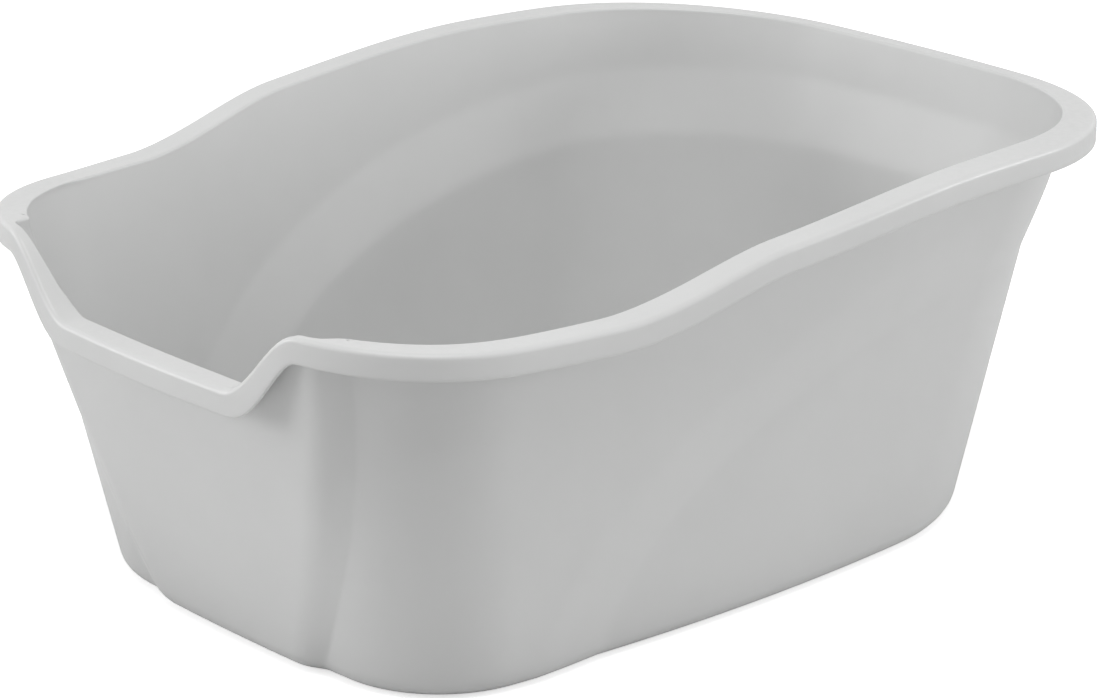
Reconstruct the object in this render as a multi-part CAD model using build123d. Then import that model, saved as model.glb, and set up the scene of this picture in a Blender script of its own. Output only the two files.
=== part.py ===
from build123d import *
import math
import os

# High-sided litter pan, one injection moulding, in millimetres.
# X is across the pan, +Y runs from the low entry to the high back, +Z is up.
# The origin is at the middle of the underside, on the surface the pan rests on.

# Rim, seen from above
rim_length = 610.0
rim_width = 448.0
rim_front_corner = 109.0
rim_back_corner = 150.0
rim_side_bow = 35.5
rim_front_bow = 2.3
rim_back_bow = 21.8
rim_side_lean = 4.8
rim_overhang = 17.0
rim_skirt = 12.7

# Rim, seen from the side
side_height = 213.3
back_height = 246.3
back_drop = 10.0
back_drop_start = 110.0
rise_start = -170.0
rise_end = 70.0
front_corner_lift = 6.2
front_corner_lift_start = -180.0

# Low entry in the front
entry_height = 176.6
entry_flat_width = 143.0
entry_ramp = 63.5
entry_over = 2.0

# Basin at floor level
base_width = 334.0
base_front = -243.0
base_back = 249.0
base_front_corner = 46.0
base_back_corner = 142.0
base_side_bow = 21.8
base_front_bow = 8.0
base_back_bow = 4.4
base_radius = 16.0
basin_height = 215.0
basin_lean = 0.19

# Front panel, proud of the two corner columns
panel_base_y = -249.0
panel_lean = 0.237
panel_base_width = 129.0
panel_spread = 0.31
panel_base_bow = 1.0
panel_top_bow = 8.0
panel_splay = 30.0
panel_reach = 90.0

# Wall and floor
wall = 2.5
floor = 3.0

# Points on the crest curves, the step their slope is read over, and room for cuts
side_points_count = 21
ramp_points_count = 9
slope_probe = 0.5
cut_margin = 20.0
top_margin = 16.0


def smooth_step(value, start, end):
    """0 before start, 1 after end, and a cubic ease with level ends between."""
    t = min(max((value - start) / (end - start), 0.0), 1.0)
    return t * t * (3.0 - 2.0 * t)


def inner_tangent_centre(c1, r1, c2, r2, r):
    """Centre of the circle of radius r that touches two larger circles from inside, on the outer side."""
    d1 = r1 - r
    d2 = r2 - r
    gap = math.dist(c1, c2)
    along = (d1 * d1 - d2 * d2 + gap * gap) / (2.0 * gap)
    across = math.sqrt(d1 * d1 - along * along)
    ux = (c2[0] - c1[0]) / gap
    uy = (c2[1] - c1[1]) / gap
    mx = c1[0] + along * ux
    my = c1[1] + along * uy
    first = (mx - across * uy, my + across * ux)
    second = (mx + across * uy, my - across * ux)
    return max(first, second, key=lambda p: p[0])


def half_outline(width, front, back, front_corner, back_corner, side_bow, front_bow, back_bow, lean, inset):
    """Arcs of the right half outline from front centre to back centre, as centre, radius and two angles."""
    half_width = width / 2.0
    half_length = (back - front) / 2.0
    middle = (back + front) / 2.0
    side_radius = (half_length**2 + side_bow**2) / (2.0 * side_bow)
    front_radius = (half_width**2 + front_bow**2) / (2.0 * front_bow)
    back_radius = (half_width**2 + back_bow**2) / (2.0 * back_bow)
    tilt = math.atan2(lean, half_length)
    side_centre = (half_width - side_radius * math.cos(tilt), middle + side_radius * math.sin(tilt))
    front_centre = (0.0, front + front_radius)
    back_centre = (0.0, back - back_radius)
    near = inner_tangent_centre(side_centre, side_radius, front_centre, front_radius, front_corner)
    far = inner_tangent_centre(side_centre, side_radius, back_centre, back_radius, back_corner)

    def heading(a, b):
        return math.atan2(b[1] - a[1], b[0] - a[0])

    a1 = heading(front_centre, near)
    a2 = heading(side_centre, near)
    a3 = heading(side_centre, far)
    a4 = heading(back_centre, far)
    return [
        (front_centre, front_radius - inset, -math.pi / 2.0, a1),
        (near, front_corner - inset, a1, a2),
        (side_centre, side_radius - inset, a2, a3),
        (far, back_corner - inset, a3, a4),
        (back_centre, back_radius - inset, a4, math.pi / 2.0),
    ]


def rim_outline(inset):
    return half_outline(rim_width, -rim_length / 2.0, rim_length / 2.0, rim_front_corner, rim_back_corner,
                        rim_side_bow, rim_front_bow, rim_back_bow, rim_side_lean, inset)


def base_outline(inset):
    return half_outline(base_width, base_front, base_back, base_front_corner, base_back_corner,
                        base_side_bow, base_front_bow, base_back_bow, 0.0, inset)


def arc_point(arc, share):
    centre, radius, start, end = arc
    angle = start + (end - start) * share
    return (centre[0] + radius * math.cos(angle), centre[1] + radius * math.sin(angle))


def outline_face(arcs):
    """Planar face inside a half outline and its mirror image."""
    right = [ThreePointArc(arc_point(a, 0.0), arc_point(a, 0.5), arc_point(a, 1.0)) for a in arcs]
    chain = Wire(right)
    return make_face([*chain.edges(), *chain.mirror(Plane.YZ).edges()])


def basin_block(inset):
    """The basin as a filled block, its skin moved in by inset, from the floor to above the rim."""
    top = back_height + top_margin
    widening = basin_lean * (top - basin_height)
    low = outline_face(base_outline(inset))
    high = Pos(0, 0, top) * outline_face(rim_outline(rim_overhang - widening + inset))
    return loft([low, high], ruled=True)


def panel_block(inset):
    """The front panel as a leaning block with a bowed face and splayed sides."""
    top = back_height + top_margin
    fold_mitre = math.tan(math.pi / 8.0)
    sections = []
    for z in (0.0, top):
        share = z / top
        front = panel_base_y - panel_lean * z + inset
        bow = panel_base_bow + (panel_top_bow - panel_base_bow) * share
        half = panel_base_width / 2.0 + panel_spread * z - inset * fold_mitre
        side = half + panel_splay
        side_y = front + bow + panel_splay
        face_line = ThreePointArc((-half, front + bow), (0, front), (half, front + bow))
        back_line = Polyline((half, front + bow), (side, side_y), (half / 2.0, side_y + panel_reach),
                             (-half / 2.0, side_y + panel_reach), (-side, side_y), (-half, front + bow))
        sections.append(Pos(0, 0, z) * make_face([face_line, *back_line.edges()]))
    return loft(sections, ruled=True)


def shell_block(inset, radius):
    """Basin and panel joined along the fold lines, with the radius at the floor."""
    block = basin_block(inset) + panel_block(inset)
    return fillet(block.faces().sort_by(Axis.Z)[0].edges(), radius)


def side_height_at(y):
    """Height of the rim's top seen from the side: level, an S-rise to the back, then a gentle fall."""
    height = side_height + (back_height - side_height) * smooth_step(y, rise_start, rise_end)
    back_share = max(y - back_drop_start, 0.0) / (rim_length / 2.0 - back_drop_start)
    height -= back_drop * back_share**2
    front_share = max(front_corner_lift_start - y, 0.0) / (rim_length / 2.0 + front_corner_lift_start)
    return height + front_corner_lift * front_share**2


def entry_height_at(x):
    """Height of the rim's top seen from the front: the low entry and its two S-shaped ramps."""
    corner_height = side_height_at(-rim_length / 2.0) + entry_over
    return entry_height + (corner_height - entry_height) * smooth_step(
        abs(x), entry_flat_width / 2.0, entry_flat_width / 2.0 + entry_ramp)


def offset_curve(height_at, start, end, count, depth):
    """Points on a height curve, moved down square to it by depth."""
    found = []
    for i in range(count):
        place = start + (end - start) * i / (count - 1)
        slope = (height_at(place + slope_probe) - height_at(place - slope_probe)) / (2.0 * slope_probe)
        scale = depth / math.hypot(1.0, slope)
        found.append((place + slope * scale, height_at(place) - scale))
    return found


def under_crest(depth):
    """Solid below the rim's top, or below a surface that lies depth under it, measured square to it."""
    reach = rim_length / 2.0 + cut_margin
    half = rim_width / 2.0 + cut_margin
    side_points = offset_curve(side_height_at, -reach, reach, side_points_count, depth)
    side_line = Spline(*side_points)
    foot = Polyline(side_points[-1], (side_points[-1][0], -cut_margin),
                    (side_points[0][0], -cut_margin), side_points[0])
    side_face = Plane.YZ * make_face([side_line, *foot.edges()])
    under_side = extrude(side_face, half, both=True)
    ramp_start = entry_flat_width / 2.0
    ramp_end = ramp_start + entry_ramp
    ramp = offset_curve(entry_height_at, ramp_start, ramp_end, ramp_points_count, depth)
    mirrored = [(-x, z) for x, z in reversed(ramp)]
    over = back_height + cut_margin
    right = Spline(*ramp, tangents=((1, 0), (1, 0)))
    left = Spline(*mirrored, tangents=((1, 0), (1, 0)))
    flat = Line(mirrored[-1], ramp[0])
    lid = Polyline(ramp[-1], (ramp_end, over), (-ramp_end, over), mirrored[0])
    entry_face = Plane.XZ * make_face([left, flat, right, *lid.edges()])
    entry_cut = Pos(0, -reach, 0) * extrude(entry_face, reach / 2.0, both=True)
    return under_side - entry_cut


def build_pan():
    top = back_height + top_margin
    outer = shell_block(0.0, base_radius)
    cavity = Pos(0, 0, floor) * shell_block(wall - basin_lean * floor, base_radius - wall)
    crest = under_crest(0.0)
    rim_block = extrude(outline_face(rim_outline(0.0)), top)
    rim_inside = extrude(outline_face(rim_outline(wall)), top)
    rim = (rim_block & crest) - under_crest(rim_skirt) - (rim_inside & under_crest(wall))
    return ((outer & crest) + rim) - cavity


os.makedirs("parts", exist_ok=True)
pan = build_pan()
export_step(pan, "parts/litter_pan.step")
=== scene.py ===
import math

import bpy
import numpy as np
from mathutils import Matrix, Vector


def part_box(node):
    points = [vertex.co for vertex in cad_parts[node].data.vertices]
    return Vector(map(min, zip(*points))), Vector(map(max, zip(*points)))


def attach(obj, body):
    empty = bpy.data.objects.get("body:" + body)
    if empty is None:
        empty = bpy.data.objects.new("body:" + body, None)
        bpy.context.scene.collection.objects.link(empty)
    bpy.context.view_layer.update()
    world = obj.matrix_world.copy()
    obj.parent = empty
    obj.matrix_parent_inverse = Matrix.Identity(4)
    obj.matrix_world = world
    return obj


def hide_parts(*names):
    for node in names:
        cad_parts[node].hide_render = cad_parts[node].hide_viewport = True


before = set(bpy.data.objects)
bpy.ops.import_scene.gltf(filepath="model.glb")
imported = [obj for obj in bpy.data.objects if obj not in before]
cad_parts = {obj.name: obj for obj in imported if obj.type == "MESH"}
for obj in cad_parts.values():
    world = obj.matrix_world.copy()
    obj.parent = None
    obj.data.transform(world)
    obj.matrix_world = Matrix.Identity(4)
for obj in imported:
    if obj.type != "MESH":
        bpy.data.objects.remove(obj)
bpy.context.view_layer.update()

# Outlines of the pan
# The pan is one injection moulding in light grey polypropylene. Seen from above, its rim, the top of its
# wall and its foot are each a ring of tangent arcs: front, front corner, bowed side, back corner and back.

PAN_LOW, PAN_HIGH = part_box("litter_pan")
RIM_LENGTH = PAN_HIGH[1] - PAN_LOW[1]
RIM = dict(width=0.448, front=-RIM_LENGTH / 2, back=RIM_LENGTH / 2, side_bow=0.0355, side_lean=0.0048,
           front_bow=0.0230, front_corner=0.101, back_bow=0.0218, back_corner=0.150)
WALL_TOP = dict(width=0.408, front=-0.288, back=0.288, side_bow=0.0316, side_lean=-0.0022,
                front_bow=0.0020, front_corner=0.094, back_bow=0.0182, back_corner=0.137)
FOOT = dict(width=0.3385, front=-0.243, back=0.2512, side_bow=0.0228, side_lean=0.0,
            front_bow=0.008, front_corner=0.073, back_bow=0.0044, back_corner=0.142)
ARC_STEPS = 400


def tangent_centre(centre_a, radius_a, centre_b, radius_b, radius):
    """Centre of a circle that touches two larger circles from inside.

    Its distances to their centres are their radii less its own. Of two such points it is the right-hand one.
    """
    reach_a = radius_a - radius
    reach_b = radius_b - radius
    gap = np.linalg.norm(centre_b - centre_a)
    along = (reach_a**2 - reach_b**2 + gap**2) / (2 * gap)
    across = math.sqrt(reach_a**2 - along**2)
    way = (centre_b - centre_a) / gap
    aside = np.array([-way[1], way[0]])
    picks = (centre_a + along * way + across * aside, centre_a + along * way - across * aside)
    return max(picks, key=lambda point: point[0])


def ring_half(width, front, back, side_bow, side_lean, front_bow, front_corner, back_bow, back_corner):
    """Right half of a ring, front centre to back centre, as points evenly spaced in each arc's angle.

    An arc of half chord h and bow b has radius (h*h + b*b) / 2b. Each corner arc touches the arcs beside it.
    """
    half = width / 2
    reach = (back - front) / 2
    middle = (back + front) / 2
    side_radius = (reach**2 + side_bow**2) / (2 * side_bow)
    front_radius = (half**2 + front_bow**2) / (2 * front_bow)
    back_radius = (half**2 + back_bow**2) / (2 * back_bow)
    tilt = math.atan2(side_lean, reach)
    side_centre = np.array([half - side_radius * math.cos(tilt), middle + side_radius * math.sin(tilt)])
    front_centre = np.array([0.0, front + front_radius])
    back_centre = np.array([0.0, back - back_radius])
    near_centre = tangent_centre(side_centre, side_radius, front_centre, front_radius, front_corner)
    far_centre = tangent_centre(side_centre, side_radius, back_centre, back_radius, back_corner)
    arcs = [(front_centre, front_radius), (near_centre, front_corner), (side_centre, side_radius),
            (far_centre, back_corner), (back_centre, back_radius)]
    turns = [-math.pi / 2]
    for large, corner in ((front_centre, near_centre), (side_centre, near_centre),
                          (side_centre, far_centre), (back_centre, far_centre)):
        turns.append(math.atan2(corner[1] - large[1], corner[0] - large[0]))
    turns.append(math.pi / 2)
    parts = []
    for (centre, radius), start, end in zip(arcs, turns[:-1], turns[1:]):
        angle = np.linspace(start, end, ARC_STEPS, endpoint=False)
        parts.append(centre + radius * np.stack([np.cos(angle), np.sin(angle)], axis=1))
    parts.append(np.array([[0.0, back]]))
    return np.concatenate(parts)


# Crest
# The top of the rim: level along the front of the sides, an S-rise to the high back and a gentle fall
# behind it, with a low straight entry in the front between two S-shaped ramps.

SIDE_HEIGHT = 0.2133
BACK_HEIGHT = 0.2460
BACK_DROP, BACK_DROP_START = 0.0088, 0.110
STEEP_START, STEEP_END, STEEP_SHARE = -0.155, -0.040, 0.55
GENTLE_START, GENTLE_END = -0.110, 0.110
CORNER_LIFT, CORNER_LIFT_START = 0.0062, -0.180
ENTRY_HEIGHT = 0.1776
ENTRY_HALF, ENTRY_RAMP = 0.0695, 0.0555
ENTRY_FADE_START, ENTRY_FADE_END = -0.17, 0.02
SLOPE_PROBE = 0.0005


def ease(value, start, end):
    """Cubic ease t*t*(3-2t) from 0 at start to 1 at end."""
    t = np.clip((value - start) / (end - start), 0, 1)
    return t * t * (3 - 2 * t)


def crest(x, y):
    """Height of the rim's top: side height, plus the S-rise, less the squared fall, lowered in the entry.

    The S-rise is a steep ease and a longer gentle one, each times its share.
    """
    steep = STEEP_SHARE * ease(y, STEEP_START, STEEP_END)
    gentle = (1 - STEEP_SHARE) * ease(y, GENTLE_START, GENTLE_END)
    height = SIDE_HEIGHT + (BACK_HEIGHT - SIDE_HEIGHT) * (steep + gentle)
    fall = np.maximum(y - BACK_DROP_START, 0) / (RIM_LENGTH / 2 - BACK_DROP_START)
    lift = np.maximum(CORNER_LIFT_START - y, 0) / (RIM_LENGTH / 2 + CORNER_LIFT_START)
    height = height - BACK_DROP * fall**2 + CORNER_LIFT * lift**2
    entry = 1 - ease(np.abs(x), ENTRY_HALF, ENTRY_HALF + ENTRY_RAMP)
    entry = entry * (1 - ease(y, ENTRY_FADE_START, ENTRY_FADE_END))
    return height - (height - ENTRY_HEIGHT) * entry


def below_crest(plan, depth):
    """Heights under the crest over plan points, at a depth measured square to it.

    Straight down, that depth takes depth * sqrt(1 + slope squared).
    """
    x = plan[:, 0]
    y = plan[:, 1]
    slope_x = (crest(x + SLOPE_PROBE, y) - crest(x - SLOPE_PROBE, y)) / (2 * SLOPE_PROBE)
    slope_y = (crest(x, y + SLOPE_PROBE) - crest(x, y - SLOPE_PROBE)) / (2 * SLOPE_PROBE)
    return crest(x, y) - depth * np.sqrt(1 + slope_x**2 + slope_y**2)


# Walls
# Drafted walls that lean out from the foot to the rim. The front panel leans further and stands proud of the
# corner columns, past a soft bend, a splayed face and a sharp fold. Under an arch the walls stand in.

WALL_TOP_HEIGHT = 0.215
PANEL_Y, PANEL_LEAN = -0.249, 0.237
PANEL_FOOT_BOW, PANEL_TOP_BOW = 0.001, 0.008
PANEL_TOP = 0.212
BEND_BASE, BEND_SPREAD, BEND_CURVE = 0.0590, 0.465, 0.54
FOLD_BASE, FOLD_SPREAD, FOLD_CURVE = 0.0712, 0.629, 1.47
BEND_ROUND, FOLD_ROUND = 0.008, 0.0022
BEND_MOST = 0.45
ARCH_STEP = 0.0060
ARCH_Y = 0.200
ARCH_OUTER, ARCH_INNER = (0.362, 0.206), (0.316, 0.166)
ARCH_SOFTNESS = 0.08
ARCH_FADE_COLUMNS = 10
LEVEL_TOP = 0.262
LEVEL_COUNT = 132
FOLD_LEVEL_COUNT = 60
RING_PROBE = 0.0004
TINY = 1e-9
PANEL_COLUMNS, BEND_COLUMNS, STRIP_COLUMNS, FOLD_COLUMNS, BASIN_COLUMNS = 26, 9, 5, 7, 190

foot_half = ring_half(**FOOT)
wall_top_half = ring_half(**WALL_TOP)
ring_shares = np.linspace(0, 1, len(foot_half))


def basin_point(share, z):
    """Point of the wall at a share of its ring's samples and at a height.

    It lies on the straight line from the foot's ring to the wall top's, at z over the wall top's height.
    """
    place = np.clip(share, 0, 1) * (len(foot_half) - 1)
    sample = np.minimum(place.astype(int), len(foot_half) - 2)
    between = (place - sample)[..., None]
    low = foot_half[sample] * (1 - between) + foot_half[sample + 1] * between
    high = wall_top_half[sample] * (1 - between) + wall_top_half[sample + 1] * between
    return low + (high - low) * (z / WALL_TOP_HEIGHT)[..., None]


def panel_bend(z):
    """Half width base + spread*z - curve*z*z up to the soft bend, and the front's place and bow."""
    z = np.minimum(z, PANEL_TOP)
    half = BEND_BASE + BEND_SPREAD * z - BEND_CURVE * z * z
    front = PANEL_Y - PANEL_LEAN * z
    bow = PANEL_FOOT_BOW + (PANEL_TOP_BOW - PANEL_FOOT_BOW) * z / LEVEL_TOP
    return half, front, bow


# Where the sharp fold lies on the wall's ring: its distance from the middle is base + spread*z - curve*z*z
fold_levels = np.linspace(0, PANEL_TOP, FOLD_LEVEL_COUNT)
fold_shares = np.zeros(FOLD_LEVEL_COUNT)
for number, level in enumerate(fold_levels):
    ring = basin_point(ring_shares, np.full(len(ring_shares), level))
    widest = ring[:, 0].argmax()
    fold_x = FOLD_BASE + FOLD_SPREAD * level - FOLD_CURVE * level * level
    fold_shares[number] = np.interp(fold_x, ring[:widest, 0], ring_shares[:widest])


def arch_inset(y, z):
    """Full step under the inner ellipse, none above the outer one, and a nearly even ramp between."""
    reach = np.maximum(ARCH_Y - y, 0)
    inner = np.maximum(np.hypot(reach / ARCH_INNER[0], z / ARCH_INNER[1]) - 1, 0)
    outer = np.maximum(1 - np.hypot(reach / ARCH_OUTER[0], z / ARCH_OUTER[1]), 0)
    share = inner / (inner + outer + TINY)
    return ARCH_STEP * (1 - (ARCH_SOFTNESS * ease(share, 0, 1) + (1 - ARCH_SOFTNESS) * share))


def corner_curve(start, corner, end, count):
    """Quadratic curve from start to end that turns at the corner, without its last point."""
    t = np.linspace(0, 1, count, endpoint=False)[None, :, None]
    return (1 - t) ** 2 * start[:, None] + 2 * t * (1 - t) * corner[:, None] + t**2 * end[:, None]


# Columns of the side and back walls, spread evenly along their ring at mid height
mid_height = WALL_TOP_HEIGHT / 2
mid_ring = basin_point(ring_shares, np.full(len(ring_shares), mid_height))
mid_length = np.concatenate([[0], np.cumsum(np.linalg.norm(np.diff(mid_ring, axis=0), axis=1))])
mid_share = np.interp(mid_height, fold_levels, fold_shares)
mid_start = np.interp(mid_share, ring_shares, mid_length)
even_lengths = np.linspace(mid_start, mid_length[-1], BASIN_COLUMNS)
basin_shares = (np.interp(even_lengths, mid_length, ring_shares) - mid_share) / (1 - mid_share)


def half_rings(z):
    """Plan points of the walls' right half at each of the heights z, a row for each, front to back centre.

    A row is the panel, x*x times its bow; the bend's curve; the straight splayed strip; the fold's curve;
    and the rest of the wall's ring.
    """
    half, front, bow = panel_bend(z)
    bend = np.stack([half, front + bow], axis=1)
    fold_share = np.interp(z, fold_levels, fold_shares)
    fold_height = np.minimum(z, PANEL_TOP)
    fold = basin_point(fold_share, fold_height)
    strip = fold - bend
    strip_length = np.linalg.norm(strip, axis=1, keepdims=True)
    strip_way = strip / strip_length
    bend_round = np.minimum(BEND_ROUND, strip_length * BEND_MOST)
    bend_in = bend - bend_round * np.stack([np.ones_like(z), 2 * bow / half], axis=1)
    bend_out = bend + bend_round * strip_way
    fold_in = fold - FOLD_ROUND * strip_way
    ahead = basin_point(fold_share + RING_PROBE, fold_height) - fold
    ahead_length = np.linalg.norm(ahead, axis=1)
    fold_out = fold + FOLD_ROUND * ahead / ahead_length[:, None]
    share_out = fold_share + RING_PROBE * FOLD_ROUND / ahead_length
    x = np.linspace(0, 1, PANEL_COLUMNS, endpoint=False)[None] * bend_in[:, :1]
    panel = np.stack([x, front[:, None] + bow[:, None] * (x / half[:, None]) ** 2], axis=2)
    bend_part = corner_curve(bend_in, bend, bend_out, BEND_COLUMNS)
    along = np.linspace(0, 1, STRIP_COLUMNS, endpoint=False)[None, :, None]
    strip_part = bend_out[:, None] * (1 - along) + fold_in[:, None] * along
    fold_part = corner_curve(fold_in, fold, fold_out, FOLD_COLUMNS)
    shares = share_out[:, None] * (1 - basin_shares) + basin_shares
    basin = basin_point(shares, np.broadcast_to(z[:, None], shares.shape))
    return np.concatenate([panel, bend_part, strip_part, fold_part, basin], axis=1)


def close_ring(half):
    """Full ring from its right half: the left half is the mirror image, without the two centre points."""
    left = half[:, -2:0:-1] * np.array([-1.0, 1.0])
    return np.concatenate([half, left], axis=1)


def ring_normals(ring):
    """Outward direction in plan at each point: the way along the ring, turned by a quarter."""
    way = np.roll(ring, -1, axis=1) - np.roll(ring, 1, axis=1)
    way = way / np.linalg.norm(way, axis=2, keepdims=True)
    return np.stack([way[..., 1], -way[..., 0]], axis=2)


level_rings = close_ring(half_rings(np.linspace(0, LEVEL_TOP, LEVEL_COUNT)))
level_outward = ring_normals(level_rings)
columns = level_rings.shape[1]
column = np.arange(columns)
first_basin = PANEL_COLUMNS + BEND_COLUMNS + STRIP_COLUMNS + FOLD_COLUMNS
from_front = np.minimum(column, columns - column)
arch_fade = ease((from_front - first_basin).astype(float), 0, ARCH_FADE_COLUMNS)


def wall_row(height):
    """Plan points and outward directions of the outer wall, for one height or a height for each column.

    Each column is read from the stack of level rings at its own height, then moved in by the arch.
    """
    height = np.broadcast_to(height, (columns,))
    place = np.clip(height / LEVEL_TOP, 0, 1) * (LEVEL_COUNT - 1)
    level = np.minimum(place.astype(int), LEVEL_COUNT - 2)
    between = (place - level)[:, None]
    plan = level_rings[level, column] * (1 - between) + level_rings[level + 1, column] * between
    outward = level_outward[level, column] * (1 - between) + level_outward[level + 1, column] * between
    outward = outward / np.linalg.norm(outward, axis=1, keepdims=True)
    inset = arch_inset(plan[:, 1], height) * arch_fade
    return plan - outward * inset[:, None], outward


# Skin
# One closed skin round the moulding: the underside, the outer wall, the channel under the rim, the
# turned-down edge, the top of the rim, the inner wall and the floor. Every row is a ring with the same
# columns. The edge over the inner wall is soft: it runs in further than it drops.

WALL = 0.0025
FLOOR = 0.003
FOOT_RADIUS = 0.011
RIM_SKIRT = 0.0145
EDGE_RADIUS = 0.003
INNER_DROP = 0.0016
INNER_RUN = 2 * INNER_DROP
WALL_TOP_GAP = 0.0015
HEIGHT_GUESS = 0.2
HEIGHT_PASSES = 6
BLUR_COLUMNS = 25
WALL_ROWS = 66
SKIRT_ROWS = 6
WALL_SHARES = np.linspace(0, 1, WALL_ROWS)
CENTRE_SHARES = np.linspace(0.06, 0.96, 12)
UNDER_RIM_SHARES = (0.1, 0.4, 0.7, 0.95)
RIM_TOP_SHARES = (0.15, 0.35, 0.55, 0.75, 0.9, 1.0)
SKIRT_DROPS = (0.0032, 0.006, 0.009, RIM_SKIRT - WALL / 2)
QUARTER_TURN = np.linspace(0, math.pi / 2, 7)
HALF_TURN = np.linspace(0, math.pi, 7)
WALL_FINISH, UNDER_RIM_FINISH, RIM_FINISH = 0.0, 0.6, 1.0

# The wall's plan depends on its height and the crest's height on the plan, so they are settled by turns
wall_top, wall_out = wall_row(HEIGHT_GUESS)
for _ in range(HEIGHT_PASSES - 1):
    wall_top, wall_out = wall_row(crest(wall_top[:, 0], wall_top[:, 1]))

# Each column's point on the rim's outline is the nearest one, evened out along the ring
blur = np.hanning(BLUR_COLUMNS)
blur = blur / blur.sum()
blur_reach = BLUR_COLUMNS // 2
rim_points = close_ring(ring_half(**RIM)[None])[0]
rim_count = len(rim_points)
gaps = ((wall_top[:, None] - rim_points[None]) ** 2).sum(axis=2)
nearest = gaps.argmin(axis=1).astype(float)
nearest[0] = 0
nearest = np.unwrap(nearest, period=rim_count)
nearest = np.concatenate([nearest[-blur_reach:] - rim_count, nearest, nearest[:blur_reach] + rim_count])
nearest = np.convolve(nearest, blur, mode="valid")
nearest = (nearest - nearest[0]) % rim_count
sample = nearest.astype(int)
between = (nearest - sample)[:, None]
rim_edge = rim_points[sample] * (1 - between) + rim_points[(sample + 1) % rim_count] * between
rim_out = ring_normals(rim_edge[None])[0]


def smooth_ring(points):
    """Each point becomes the weighted mean of its neighbours, which rounds the folds at the rim."""
    padded = np.concatenate([points[-blur_reach:], points, points[:blur_reach]])
    return np.stack([np.convolve(padded[:, axis], blur, mode="valid") for axis in (0, 1)], axis=1)


rows = []
finishes = []


def add_row(plan, height, finish):
    rows.append(np.column_stack([plan, np.broadcast_to(height, (columns,))]))
    finishes.append(np.full(columns, finish))


# Underside, from the middle out
foot, foot_out = wall_row(FOOT_RADIUS / 2)
foot_edge = foot - foot_out * FOOT_RADIUS
for share in CENTRE_SHARES:
    add_row(foot_edge * share, 0.0, WALL_FINISH)

# Radius at the foot of the outer wall
for angle in QUARTER_TURN[:-1]:
    z = FOOT_RADIUS * (1 - math.cos(angle))
    plan, outward = wall_row(z)
    add_row(plan - outward * FOOT_RADIUS * (1 - math.sin(angle)), z, WALL_FINISH)

# Outer wall, up to just under the rim
outer_top_z = below_crest(wall_top, WALL) - WALL_TOP_GAP
for share in WALL_SHARES:
    z = FOOT_RADIUS + (outer_top_z - FOOT_RADIUS) * share
    outer_top, _ = wall_row(z)
    add_row(outer_top, z, WALL_FINISH)

# Underside of the rim, and the inner face of the turned-down edge
skirt_inside = rim_edge - rim_out * WALL
for share in UNDER_RIM_SHARES:
    plan = outer_top + (skirt_inside - outer_top) * share
    add_row(plan, below_crest(plan, WALL), UNDER_RIM_FINISH)
for drop in SKIRT_DROPS:
    add_row(skirt_inside, below_crest(skirt_inside, drop), RIM_FINISH)

# Lip of the turned-down edge, a half round, and its outer face
lip = rim_edge - rim_out * WALL / 2
lip_drop = RIM_SKIRT - WALL / 2
for angle in HALF_TURN[1:-1]:
    plan = lip - rim_out * WALL / 2 * math.cos(angle)
    add_row(plan, below_crest(lip, lip_drop) - WALL / 2 * math.sin(angle), RIM_FINISH)
for drop in np.linspace(lip_drop, EDGE_RADIUS, SKIRT_ROWS):
    add_row(rim_edge, below_crest(rim_edge, drop), RIM_FINISH)

# Radius between the edge and the top of the rim
for angle in QUARTER_TURN[1:]:
    plan = rim_edge - rim_out * EDGE_RADIUS * (1 - math.cos(angle))
    add_row(plan, below_crest(plan, EDGE_RADIUS * (1 - math.sin(angle))), RIM_FINISH)

# Top of the rim, in to the soft edge over the inner wall
inner_top = smooth_ring(wall_top - wall_out * (WALL + INNER_DROP))
top_outer = rim_edge - rim_out * EDGE_RADIUS
top_inner = inner_top + wall_out * INNER_RUN
for share in RIM_TOP_SHARES:
    plan = top_outer + (top_inner - top_outer) * share
    add_row(plan, crest(plan[:, 0], plan[:, 1]), RIM_FINISH)

# Soft edge over the inner wall
inner_top_z = crest(inner_top[:, 0], inner_top[:, 1]) - INNER_DROP
inner_wall, inner_out = wall_row(inner_top_z)
inner_wall = inner_wall - inner_out * WALL
for angle in QUARTER_TURN[1:-1]:
    plan = top_inner + (inner_wall - top_inner) * math.sin(angle)
    add_row(plan, crest(plan[:, 0], plan[:, 1]) - INNER_DROP * (1 - math.cos(angle)), RIM_FINISH)

# Inner wall, down to the radius over the floor
inner_radius = FOOT_RADIUS - WALL
inner_foot_z = FLOOR + inner_radius
for share in WALL_SHARES:
    z = inner_top_z + (inner_foot_z - inner_top_z) * share
    plan, outward = wall_row(z)
    add_row(plan - outward * WALL, z, WALL_FINISH)
for angle in QUARTER_TURN[::-1][1:]:
    z = FLOOR + inner_radius * (1 - math.cos(angle))
    plan, outward = wall_row(z)
    floor_edge = plan - outward * (WALL + inner_radius * (1 - math.sin(angle)))
    add_row(floor_edge, z, WALL_FINISH)

# Floor, in to the middle
for share in CENTRE_SHARES[::-1]:
    add_row(floor_edge * share, FLOOR, WALL_FINISH)

# One grid of four-sided faces, closed by a fan at each end
vertices = np.concatenate([*rows, [[0.0, 0.0, 0.0], [0.0, 0.0, FLOOR]]])
finish = np.concatenate([*finishes, [WALL_FINISH, WALL_FINISH]])
under_centre = len(vertices) - 2
floor_centre = len(vertices) - 1
after = (column + 1) % columns
lower = np.arange(len(rows) - 1)[:, None] * columns
upper = lower + columns
grid = np.stack([lower + column, lower + after, upper + after, upper + column], axis=2).reshape(-1, 4)
last_row = (len(rows) - 1) * columns
under_fan = np.stack([np.full(columns, under_centre), after, column], axis=1)
floor_fan = np.stack([np.full(columns, floor_centre), last_row + column, last_row + after], axis=1)

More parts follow.
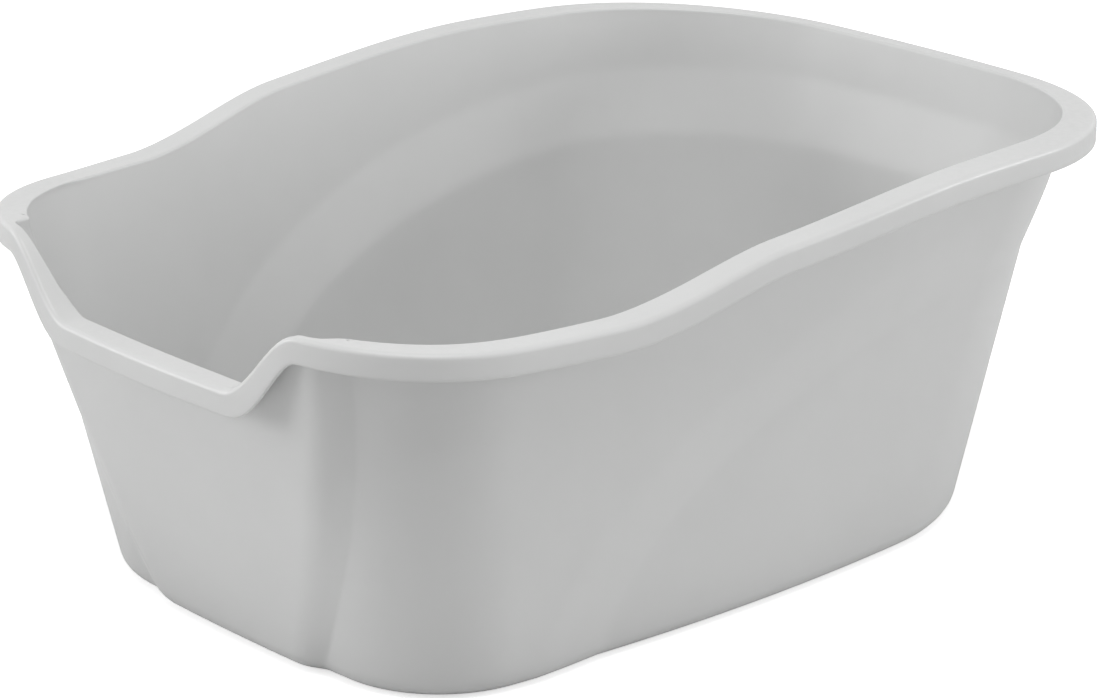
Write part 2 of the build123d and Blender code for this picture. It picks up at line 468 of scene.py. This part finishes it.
pan_mesh = bpy.data.meshes.new("pan_skin")
pan_mesh.from_pydata(vertices.tolist(), [], grid.tolist() + under_fan.tolist() + floor_fan.tolist())
pan_mesh.validate()
pan_mesh.shade_smooth()
rim_finish = pan_mesh.attributes.new("rim_finish", "FLOAT", "POINT")
rim_finish.data.foreach_set("value", finish.astype(np.float32))
pan_skin = bpy.data.objects.new("pan_skin", pan_mesh)
bpy.context.scene.collection.objects.link(pan_skin)


# Pan plastic
# Light grey polypropylene, coloured through. A fine mould texture makes the walls matt, and the rim is
# smoother and slightly mottled, where hands and stacked pans rub it.

PLASTIC_GREY = (0.580, 0.583, 0.580, 1.0)
PLASTIC_IOR = 1.49
PLASTIC_SHINE = 0.34
CLOUD_TONES = (0.975, 1.02)
WALL_ROUGHNESS = (0.38, 0.46)
RIM_ROUGHNESS = (0.30, 0.42)
GRAIN_DEPTH = 0.00005
MOTTLE_DEPTH = 0.00012

# Places of a Mix node's sockets for two colours and for two numbers
COLOUR_A, COLOUR_B, COLOUR_MIXED = 6, 7, 2
NUMBER_A, NUMBER_B, NUMBER_MIXED = 2, 3, 0


def node(tree, kind, place, **values):
    """A node at a place in its tree. A value goes to the input of its name, or else to a setting."""
    made = tree.nodes.new(kind)
    made.location = place
    for name, value in values.items():
        socket = name.replace("_", " ")
        if socket in made.inputs:
            made.inputs[socket].default_value = value
        else:
            setattr(made, name, value)
    return made


plastic = bpy.data.materials.new("pan_plastic")
plastic.use_nodes = True
tree = plastic.node_tree
tree.nodes.clear()
link = tree.links.new
surface = node(tree, "ShaderNodeBsdfPrincipled", (600, 0), IOR=PLASTIC_IOR, Specular_IOR_Level=PLASTIC_SHINE)
output = node(tree, "ShaderNodeOutputMaterial", (900, 0))
coords = node(tree, "ShaderNodeTexCoord", (-1200, 0))
rim_mark = node(tree, "ShaderNodeAttribute", (-1200, -400), attribute_name="rim_finish")
link(surface.outputs["BSDF"], output.inputs["Surface"])

# Faint clouds in the colour
cloud = node(tree, "ShaderNodeTexNoise", (-900, 300), Scale=9.0, Detail=3.0, Roughness=0.55)
tone = node(tree, "ShaderNodeMapRange", (-600, 300), From_Min=0.3, From_Max=0.7,
            To_Min=CLOUD_TONES[0], To_Max=CLOUD_TONES[1])
shade = node(tree, "ShaderNodeMix", (-200, 300), data_type="RGBA", blend_type="MULTIPLY", Factor=1.0)
shade.inputs[COLOUR_A].default_value = PLASTIC_GREY
link(coords.outputs["Object"], cloud.inputs["Vector"])
link(cloud.outputs["Fac"], tone.inputs["Value"])
link(tone.outputs["Result"], shade.inputs[COLOUR_B])
link(shade.outputs[COLOUR_MIXED], surface.inputs["Base Color"])

# Roughness from the mould's grain on the walls and from the mottle on the rim
grain = node(tree, "ShaderNodeTexNoise", (-900, -100), Scale=1400.0, Detail=2.0, Roughness=0.6)
mottle = node(tree, "ShaderNodeTexNoise", (-900, -700), Scale=220.0, Detail=4.0, Roughness=0.6)
rough_wall = node(tree, "ShaderNodeMapRange", (-600, -100),
                  To_Min=WALL_ROUGHNESS[0], To_Max=WALL_ROUGHNESS[1])
rough_rim = node(tree, "ShaderNodeMapRange", (-600, -700), From_Min=0.35, From_Max=0.65,
                 To_Min=RIM_ROUGHNESS[0], To_Max=RIM_ROUGHNESS[1])
rough = node(tree, "ShaderNodeMix", (-200, -300), data_type="FLOAT")
link(coords.outputs["Object"], grain.inputs["Vector"])
link(coords.outputs["Object"], mottle.inputs["Vector"])
link(grain.outputs["Fac"], rough_wall.inputs["Value"])
link(mottle.outputs["Fac"], rough_rim.inputs["Value"])
link(rim_mark.outputs["Fac"], rough.inputs["Factor"])
link(rough_wall.outputs["Result"], rough.inputs[NUMBER_A])
link(rough_rim.outputs["Result"], rough.inputs[NUMBER_B])
link(rough.outputs[NUMBER_MIXED], surface.inputs["Roughness"])

# The same grain and mottle as a slight relief
bump_grain = node(tree, "ShaderNodeBump", (200, -500), Strength=0.25, Distance=GRAIN_DEPTH)
bump_mottle = node(tree, "ShaderNodeBump", (400, -500), Strength=0.2, Distance=MOTTLE_DEPTH)
link(grain.outputs["Fac"], bump_grain.inputs["Height"])
link(mottle.outputs["Fac"], bump_mottle.inputs["Height"])
link(bump_grain.outputs["Normal"], bump_mottle.inputs["Normal"])
link(bump_mottle.outputs["Normal"], surface.inputs["Normal"])

pan_mesh.materials.append(plastic)
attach(pan_skin, "root")
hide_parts("litter_pan")


# Floor
# A plain white studio floor. The camera sees it near white with a faint shadow, while it lights the pan as
# plain white paint would.

FLOOR_REACH = 6.0
FLOOR_DROP = 0.0002
FLOOR_PAINT = (0.8, 0.8, 0.8, 1.0)
FLOOR_LIFT = 0.62
WHITE = (1.0, 1.0, 1.0, 1.0)

floor_mesh = bpy.data.meshes.new("studio_floor")
floor_signs = ((-1, -1), (1, -1), (1, 1), (-1, 1))
floor_corners = [(across * FLOOR_REACH, along * FLOOR_REACH, -FLOOR_DROP) for across, along in floor_signs]
floor_mesh.from_pydata(floor_corners, [], [(0, 1, 2, 3)])
studio_floor = bpy.data.objects.new("studio_floor", floor_mesh)
bpy.context.scene.collection.objects.link(studio_floor)
floor_paint = bpy.data.materials.new("floor_paint")
floor_paint.use_nodes = True
floor_tree = floor_paint.node_tree
floor_tree.nodes.clear()
floor_link = floor_tree.links.new
floor_ray = node(floor_tree, "ShaderNodeLightPath", (-600, -200))
lift = node(floor_tree, "ShaderNodeMath", (-300, -200), operation="MULTIPLY")
lift.inputs[1].default_value = FLOOR_LIFT
paint = node(floor_tree, "ShaderNodeBsdfDiffuse", (0, 0), Color=FLOOR_PAINT)
glow = node(floor_tree, "ShaderNodeEmission", (0, -200), Color=WHITE)
both = node(floor_tree, "ShaderNodeAddShader", (300, 0))
floor_output = node(floor_tree, "ShaderNodeOutputMaterial", (600, 0))
floor_link(floor_ray.outputs["Is Camera Ray"], lift.inputs[0])
floor_link(lift.outputs["Value"], glow.inputs["Strength"])
floor_link(paint.outputs["BSDF"], both.inputs[0])
floor_link(glow.outputs["Emission"], both.inputs[1])
floor_link(both.outputs["Shader"], floor_output.inputs["Surface"])
floor_mesh.materials.append(floor_paint)


# Light
# Two low soft boxes, one in front on the left and one behind on the right, and a larger one above the near
# corner. The world fills in evenly, and the camera and shiny surfaces see it white.

WORLD_FILL = 0.36


def soft_box(name, place, aim, size, power):
    lamp = bpy.data.lights.new(name, "AREA")
    lamp.shape = "RECTANGLE"
    lamp.size, lamp.size_y = size
    lamp.energy = power
    made = bpy.data.objects.new(name, lamp)
    made.location = place
    made.rotation_euler = (Vector(aim) - Vector(place)).to_track_quat("-Z", "Y").to_euler()
    bpy.context.scene.collection.objects.link(made)


soft_box("left_box", place=(-1.7, -2.0, 0.75), aim=(0, 0, 0.12), size=(1.3, 1.1), power=29)
soft_box("right_box", place=(1.85, 2.35, 0.66), aim=(0, 0, 0.12), size=(1.3, 1.0), power=35)
soft_box("top_box", place=(0.6, -0.55, 2.37), aim=(0, 0, 0.1), size=(1.4, 1.4), power=38)

world = bpy.data.worlds.new("studio")
bpy.context.scene.world = world
world.use_nodes = True
world_tree = world.node_tree
world_tree.nodes.clear()
world_link = world_tree.links.new
world_ray = node(world_tree, "ShaderNodeLightPath", (-600, 0))
seen_in_gloss = node(world_tree, "ShaderNodeMath", (-400, 0), operation="MAXIMUM")
seen = node(world_tree, "ShaderNodeMath", (-200, 0), operation="MAXIMUM")
soft_fill = node(world_tree, "ShaderNodeBackground", (-200, -200), Color=WHITE, Strength=WORLD_FILL)
seen_white = node(world_tree, "ShaderNodeBackground", (-200, -400), Color=WHITE, Strength=1.0)
blend = node(world_tree, "ShaderNodeMixShader", (0, 0))
world_output = node(world_tree, "ShaderNodeOutputWorld", (200, 0))
world_link(world_ray.outputs["Is Glossy Ray"], seen_in_gloss.inputs[0])
world_link(world_ray.outputs["Is Transmission Ray"], seen_in_gloss.inputs[1])
world_link(world_ray.outputs["Is Camera Ray"], seen.inputs[0])
world_link(seen_in_gloss.outputs["Value"], seen.inputs[1])
world_link(seen.outputs["Value"], blend.inputs["Fac"])
world_link(soft_fill.outputs["Background"], blend.inputs[1])
world_link(seen_white.outputs["Background"], blend.inputs[2])
world_link(blend.outputs["Shader"], world_output.inputs["Surface"])


# Camera
# Stands where the photograph was taken from, out from the pan's front right corner and above its rim. Its
# lens is given as the focal length in the photograph's pixels.

CAMERA_AZIMUTH = math.radians(47.99)
CAMERA_ELEVATION = math.radians(19.27)
CAMERA_TARGET = Vector((0.0208, -0.0321, 0.1236))
CAMERA_DISTANCE = 2.2026
CAMERA_NEAREST = 0.05
SENSOR_WIDTH = 36.0
IMAGE_WIDTH = 1097
FOCAL_PIXELS = 3861.0

camera_data = bpy.data.cameras.new("camera")
camera_data.sensor_fit = "HORIZONTAL"
camera_data.sensor_width = SENSOR_WIDTH
camera_data.lens = FOCAL_PIXELS / IMAGE_WIDTH * SENSOR_WIDTH
camera_data.clip_start = CAMERA_NEAREST
camera = bpy.data.objects.new("camera", camera_data)
back_way = Vector((math.sin(CAMERA_AZIMUTH) * math.cos(CAMERA_ELEVATION),
                   -math.cos(CAMERA_AZIMUTH) * math.cos(CAMERA_ELEVATION), math.sin(CAMERA_ELEVATION)))
camera.location = CAMERA_TARGET + back_way * CAMERA_DISTANCE
camera.rotation_euler = (-back_way).to_track_quat("-Z", "Y").to_euler()
bpy.context.scene.collection.objects.link(camera)
bpy.context.scene.camera = camera
bpy.context.scene.view_settings.view_transform = "Standard"
